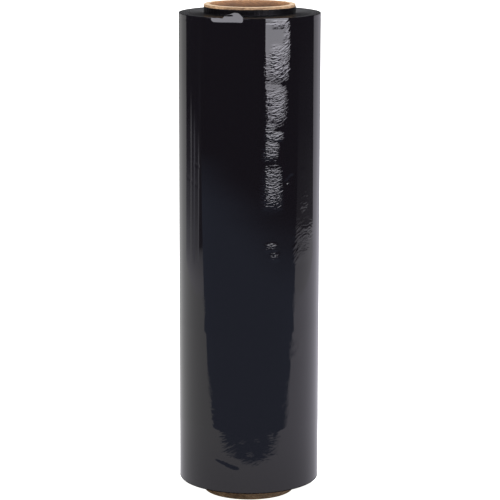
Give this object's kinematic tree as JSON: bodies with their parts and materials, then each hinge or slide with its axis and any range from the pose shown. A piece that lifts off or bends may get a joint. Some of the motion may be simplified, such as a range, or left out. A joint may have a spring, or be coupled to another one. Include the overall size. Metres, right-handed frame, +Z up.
{
  "type": "stretch wrap roll",
  "caption": "Upright roll of glossy black stretch film wound on a spiral-wound paperboard core that reaches past the film at both ends.",
  "frame": {"origin": "middle of the core's lower end, which the roll stands on", "axes": "+Z up along the roll's axis, from the long neck to the short neck; X and Y are across, with nothing to tell them apart"},
  "size_m": [0.1362, 0.1362, 0.4788],
  "materials": {
    "core_board": "uncoated spiral-wound kraft paperboard with cut ends",
    "black_film": "glossy black polyethylene stretch film, tightly wound, slightly rippled"
  },
  "bodies": {
    "root": {"core": "core_board", "film": "black_film"}
  },
  "joints": []
}
